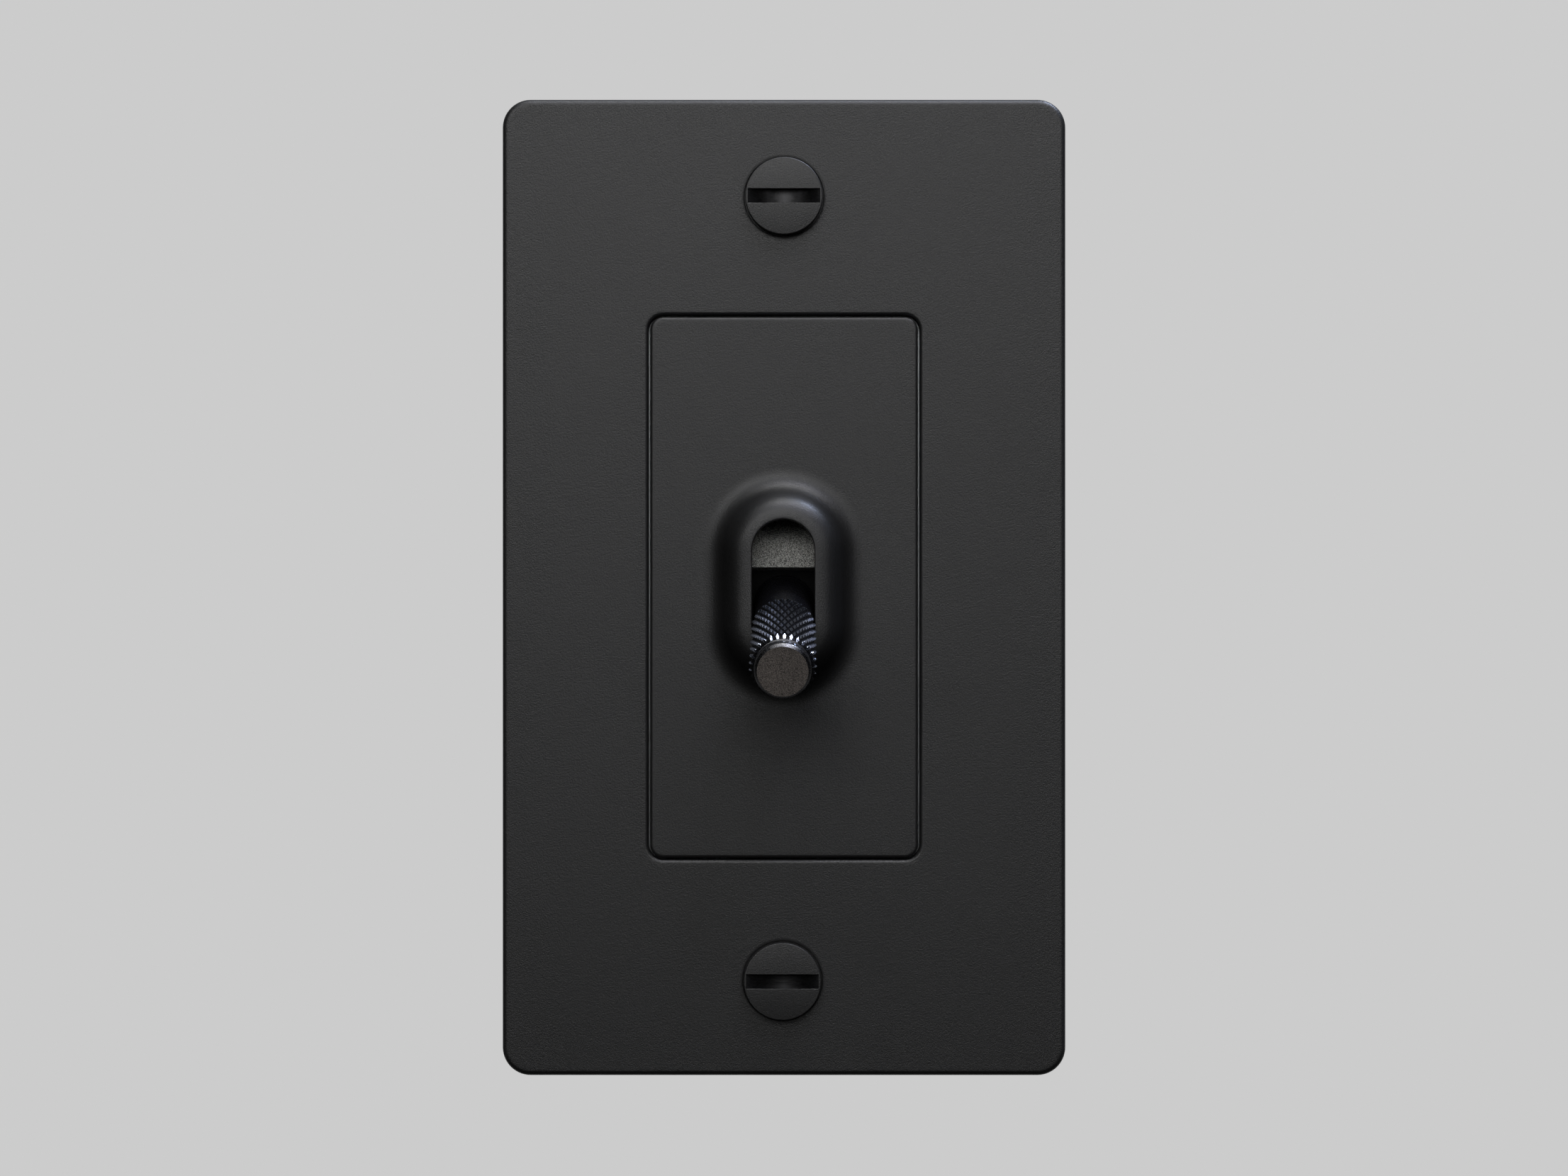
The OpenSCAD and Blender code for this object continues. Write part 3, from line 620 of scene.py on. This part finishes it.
def toggle_drum():
    """Shield of two wings with a pocket between them, side cheeks, hub and sprung tail."""
    sh = Shell(lever)
    R, HW, PB, PF, PX = 12.25, 5.6, 5.4, 8.3, 4.6
    a_pocket = math.asin(PB / R)
    a_end = math.radians(60)
    # middle: the wings' outside, the pocket, and the insides, drawn as outlines across x
    nx = 150

    def rough(x, t):
        p = Vector((x * 4.2, t * R * 4.2, 3.3))
        q = Vector((x * 2.3, t * R * 2.3, 9.1))
        return 0.05 * noise.noise(p) + 0.01 * noise.noise(q) - 0.03

    # wing surfaces with the texture carried in the mesh
    def wing(sign):
        na = 100
        loops = []
        for i in range(na + 1):
            t = a_pocket + (a_end - a_pocket) * i / na
            lp = []
            for k in range(nx + 1):
                x = -HW + 2 * HW * k / nx
                fade = min(1.0, min(i, na - i, k, nx - k) / 2.0)
                r = R + rough(x, sign * t) * fade - (0.03 if i == 0 else 0)
                lp.append((x, sign * r * math.sin(t), r * math.cos(t)))
            loops.append(sh.loop(lp))
        sh.skin(loops, closed=False)
        # inner side of the wing
        inner = []
        for t, r in ((a_pocket, R), (a_pocket, 10.45), (a_end, 10.45), (a_end, R)):
            if (t, r) in ((a_pocket, R),):
                inner.append(loops[0])
            elif (t, r) == (a_end, R):
                inner.append(loops[-1])
            else:
                inner.append(sh.loop([(-HW + 2 * HW * k / nx, sign * r * math.sin(t), r * math.cos(t)) for k in range(nx + 1)]))
        arcs = [inner[1]]
        for q in range(1, 12):
            t = a_pocket + (a_end - a_pocket) * q / 12
            arcs.append(sh.loop([(-HW + 2 * HW * k / nx, sign * 10.45 * math.sin(t), 10.45 * math.cos(t)) for k in range(nx + 1)]))
        arcs.append(inner[2])
        sh.bridge(inner[0], inner[1], closed=False)
        sh.skin(arcs, closed=False)
        sh.bridge(inner[2], inner[3], closed=False)
        # ends at the cheeks
        for side in (0, -1):
            lp = [l[side] for l in loops] + [a[side] for a in reversed(arcs)]
            f = sh.bm.faces.new(lp)
            f.smooth = True

    for s in (1, -1):
        wing(s)

    # cheeks: sector plates with the hub's round, each closed
    def prism(outline, x0, x1, mat=0):
        a = sh.loop([(x0, b, c) for b, c in outline])
        b_ = sh.loop([(x1, b, c) for b, c in outline])
        sh.bridge(a, b_, mat)
        sh.cap(a, mat)
        sh.cap(b_, mat)

    def holed(outline, x0, x1, mat=0):
        """A prism with the bore for the pivot pin through it."""
        bore = [(1.56 * math.cos(2 * math.pi * k / 64), 1.56 * math.sin(2 * math.pi * k / 64)) for k in range(64)]
        ends = []
        for x in (x0, x1):
            ends.append([sh.loop([(x, b, c) for b, c in o]) for o in (outline, bore)])
            sh.fill(ends[-1], mat, smooth=False)
        sh.bridge(ends[0][0], ends[1][0], mat)
        sh.bridge(ends[0][1], ends[1][1], mat)

    rr = R - 0.06
    sector = [(rr * math.sin(math.radians(t)), rr * math.cos(math.radians(t))) for t in range(-59, 60, 2)]
    hub = [(4.2 * math.sin(math.radians(t)), 4.2 * math.cos(math.radians(t))) for t in range(72, 289, 8)]
    for side in (-1, 1):
        x0, x1 = sorted((side * 4.62, side * (HW - 0.02)))
        holed(sector + hub, x0, x1, 1)
    # stalk between pocket floor and hub, hub barrel, tail
    prism([(-PB, PF), (PB, PF), (PB, 6.2), (3.6, 2.0), (-3.6, 2.0), (-PB, 6.2)], -4.65, 4.65, 1)
    # walls of the pocket, in the near-black material that is painted shade inside it
    for s in (-1, 1):
        o = [(s * PB, PF - 0.3), (s * PB, R * math.cos(a_pocket) - 0.02), (s * (PB + 0.9), 9.9), (s * (PB + 0.9), PF - 0.3)]
        prism(o, -4.65, 4.65, 1)
    holed([(4.15 * math.cos(2 * math.pi * k / 64), 4.15 * math.sin(2 * math.pi * k / 64)) for k in range(64)], -4.6, 4.6)
    tail = [(2.15, -3.2), (2.15, -8.5), (2.25, -8.6), (3.2, -8.6), (3.3, -8.5), (3.3, -3.0)]
    lathe(sh, tail, 64)
    return sh.done("drum_shield", [M_DRUM, M_POCKET_SHADE], 50, weighted=False)


PIECES = []


def use(ob, body, slot, *nodes):
    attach(ob, body)
    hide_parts(*nodes)
    PIECES.append(ob)
    return ob


use(wall_plate(), "root", "plate_coat", "wall_plate")
use(fascia(), "root", "fascia_coat", "fascia")
use(coin_screws(), "root", "screw_coat", "coin_screws")
use(lever_grip(), "lever", "grip_metal", "lever_grip")
use(lever_shank(), "lever", "lever_metal", "lever_shank")
use(lever_end_cap(), "lever", "cap_metal", "lever_end_cap")
use(lever_lock_ring(), "lever", "lever_metal", "lever_lock_ring")
use(toggle_drum(), "lever", "drum_plastic", "toggle_drum")

# ------------------------------------------------------------------ finishes of the CAD nodes
M_HOUSING = moulded("moulded_black", (0.022, 0.022, 0.0235), rough=0.42, cell=0.3, depth=0.02)
M_ZINC = metal("zinc_plate", (0.58, 0.60, 0.62), rough=0.34, streak=0.25, depth=0.004, vary=0.14)
M_STRAP = metal("zinc_strap", (0.56, 0.58, 0.60), rough=0.36, along=(1, 1, 0.08), streak=0.2, depth=0.006, vary=0.14)
M_BRASS = metal("rolled_brass", (0.72, 0.52, 0.22), rough=0.3, along=(1, 0.15, 1), streak=0.18, depth=0.004, vary=0.18)
M_COPPER = metal("blade_copper", (0.72, 0.40, 0.24), rough=0.3, along=(1, 1, 0.1), streak=0.18, depth=0.004, vary=0.2)
M_SILVER = metal("silver_contact", (0.75, 0.74, 0.71), rough=0.28, streak=0.2, depth=0.003, vary=0.16)
M_DARKSCREW = metal("blackened_screw", (0.07, 0.062, 0.055), rough=0.4, streak=0.2, depth=0.006, vary=0.3)
M_PIN = metal("ground_pin", (0.60, 0.60, 0.60), rough=0.22, along=(1, 0.2, 0.2), streak=0.12, depth=0.002)
M_SPRING = metal("spring_wire", (0.55, 0.55, 0.56), rough=0.25, streak=0.1, depth=0.002)
M_NYLON = moulded("nylon", (0.72, 0.70, 0.64), rough=0.42, cell=0.3, depth=0.006, vary=0.05)
M_RUBBER = moulded("rubber_pad", (0.018, 0.018, 0.018), rough=0.75, cell=0.2, depth=0.02)
M_FIBRE = moulded("vulcanised_fibre", (0.12, 0.085, 0.055), rough=0.7, cell=0.35, depth=0.02, vary=0.2)
M_WASHER = moulded("red_fibre", (0.36, 0.13, 0.06), rough=0.65, cell=0.3, depth=0.02, vary=0.2)
M_GREEN = metal("green_screw", (0.03, 0.26, 0.08), rough=0.34, streak=0.2, depth=0.006, vary=0.2, coat_w=0.3)

FINISH = {
    "pivot_pin": M_PIN, "drive_plunger": M_NYLON, "plunger_spring": M_SPRING, "contact_blade": M_COPPER,
    "moving_contacts": M_SILVER, "common_terminal": M_BRASS, "upper_traveller_terminal": M_BRASS,
    "lower_traveller_terminal": M_BRASS, "fixed_contacts": M_SILVER, "traveller_screws": M_BRASS,
    "common_screw": M_DARKSCREW, "clamp_plates": M_ZINC, "front_housing": M_HOUSING, "rear_housing": M_HOUSING,
    "stop_bumpers": M_RUBBER, "strap_insulator": M_FIBRE, "mounting_strap": M_STRAP, "assembly_screws": M_ZINC,
    "box_screws": M_ZINC, "retaining_washers": M_WASHER, "ground_clip": M_STRAP, "ground_rivet": M_ZINC,
    "ground_screw": M_GREEN,
}
for node, mat in FINISH.items():
    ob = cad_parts[node]
    if not ob.material_slots:
        ob.data.materials.append(mat)
    for sl in ob.material_slots:
        sl.link = "OBJECT"
        sl.material = mat

# ------------------------------------------------------------------ stage and light
BG = 0.604
world = bpy.data.worlds.new("studio")
bpy.context.scene.world = world
world.use_nodes = True
nt = world.node_tree
for n in list(nt.nodes):
    nt.nodes.remove(n)
out = nt.nodes.new("ShaderNodeOutputWorld")
shown = nt.nodes.new("ShaderNodeBackground")
shown.inputs["Color"].default_value = (BG, BG, BG, 1)
shown.inputs["Strength"].default_value = 1.0
fill = nt.nodes.new("ShaderNodeBackground")
fill.name = "fill"
fill.inputs["Strength"].default_value = 1.0
wtc = nt.nodes.new("ShaderNodeTexCoord")
sep = nt.nodes.new("ShaderNodeSeparateXYZ")
nt.links.new(wtc.outputs["Generated"], sep.inputs[0])
behind = ramp(nt, spread(nt, sep.outputs["Y"], 0.0, 1.0, -1.0, 1.0), ((0.0, (0.002, 0.002, 0.002)), (0.52, (0.004, 0.004, 0.004)), (0.72, (0.22, 0.22, 0.22)), (1.0, (0.42, 0.42, 0.42))))
nt.links.new(behind, fill.inputs["Color"])
lp = nt.nodes.new("ShaderNodeLightPath")
mix = nt.nodes.new("ShaderNodeMixShader")
nt.links.new(lp.outputs["Is Camera Ray"], mix.inputs["Fac"])
nt.links.new(fill.outputs["Background"], mix.inputs[1])
nt.links.new(shown.outputs["Background"], mix.inputs[2])
nt.links.new(mix.outputs["Shader"], out.inputs["Surface"])


def panel(name, direction, dist, size, power, color=(1, 1, 1), along=(1, 0, 0)):
    """A soft panel facing the object from the given direction; size is (along, across) in metres."""
    d = bpy.data.lights.new(name, "AREA")
    d.shape = "RECTANGLE"
    d.size, d.size_y = size
    d.energy = power
    d.color = color
    z = Vector(direction).normalized()
    x = (Vector(along) - z * Vector(along).dot(z)).normalized()
    y = z.cross(x)
    o = bpy.data.objects.new(name, d)
    rot = Matrix((x, y, z)).transposed().to_4x4()
    o.matrix_world = Matrix.Translation(z * dist) @ rot
    bpy.context.collection.objects.link(o)
    return o


def sky(elevation, azimuth=0.0):
    """Direction seen from the object: elevation up from the camera's axis, azimuth to the right of straight up."""
    e, a = math.radians(elevation), math.radians(azimuth)
    return (math.sin(e) * math.sin(a), -math.cos(e), math.sin(e) * math.cos(a))


def lit(name, elevation, azimuth, size, rgb, dist=1.1):
    """A square panel that gives rgb = radiance times the solid angle it fills, seen from the object."""
    top = max(rgb)
    panel(name, sky(elevation, azimuth), dist, (size, size), math.pi * dist * dist * top, tuple(c / top for c in rgb))


# one wide softbox in front, drawn as the patches that it fills
for k, (e, a, v) in enumerate((
        (12, 0, 0.05), (12, 50, 0.033), (12, -50, 0.048), (20, 0, 0.166), (20, 35, 0.08), (20, -35, 0.156), (28, 0, 0.105),
        (28, 22, 0.099), (28, -22, 0.143), (28, 45, 0.09), (28, -45, 0.082), (36, -20, 0.06), (36, -42, 0.104),
        (36, 0, 0.03), (36, 75, 0.10), (36, -75, 0.114))):
    lit(f"softbox_{k}", e, a, 0.2, (v, v, v))
# an overhead strip that leans to the right, cooler at its far end
for k, (e, a, size, rgb) in enumerate((
        (55, -14, 0.14, (0.09, 0.09, 0.095)), (55, 2, 0.14, (0.09, 0.09, 0.095)), (55, 16, 0.14, (0.26, 0.27, 0.33)),
        (55, 30, 0.12, (0.10, 0.10, 0.12)), (64, -30, 0.14, (0.06, 0.06, 0.06)), (64, -14, 0.14, (0.09, 0.09, 0.09)),
        (64, 2, 0.14, (0.17, 0.17, 0.18)), (64, 14, 0.14, (0.27, 0.27, 0.30)), (64, 28, 0.12, (0.11, 0.11, 0.12)),
        (74, -15, 0.16, (0.18, 0.18, 0.18)), (74, 0, 0.16, (0.38, 0.38, 0.37)), (74, 20, 0.2, (0.34, 0.34, 0.35)),
        (74, 36, 0.16, (0.12, 0.12, 0.13)), (86, 0, 0.22, (0.30, 0.30, 0.29)), (86, 22, 0.22, (0.22, 0.22, 0.23)),
        (93, 28, 0.10, (1.9, 2.2, 3.0)), (98, 13, 0.11, (0.22, 0.25, 0.34)))):
    lit(f"overhead_{k}", e, a, size, rgb)

floor_mat, fnt, fb = new_mat("pale_floor")
em = fnt.nodes.new("ShaderNodeEmission")
em.inputs["Color"].default_value = (BG, BG, BG, 1)
em.inputs["Strength"].default_value = 1.0
fnt.links.new(em.outputs["Emission"], [n for n in fnt.nodes if n.type == "OUTPUT_MATERIAL"][0].inputs["Surface"])
fnt.nodes.remove(fb)
me = bpy.data.meshes.new("floor")
fz = CAD_BOX[0][2] - 0.0005
me.from_pydata([(-4, -4, fz), (4, -4, fz), (4, 4, fz), (-4, 4, fz)], [], [(0, 1, 2, 3)])
me.materials.append(floor_mat)
floor = bpy.data.objects.new("floor", me)
bpy.context.collection.objects.link(floor)
floor.visible_diffuse = False
floor.visible_glossy = False
floor.visible_shadow = False

bpy.context.scene.view_settings.view_transform = "Standard"
bpy.context.scene.view_settings.look = "None"
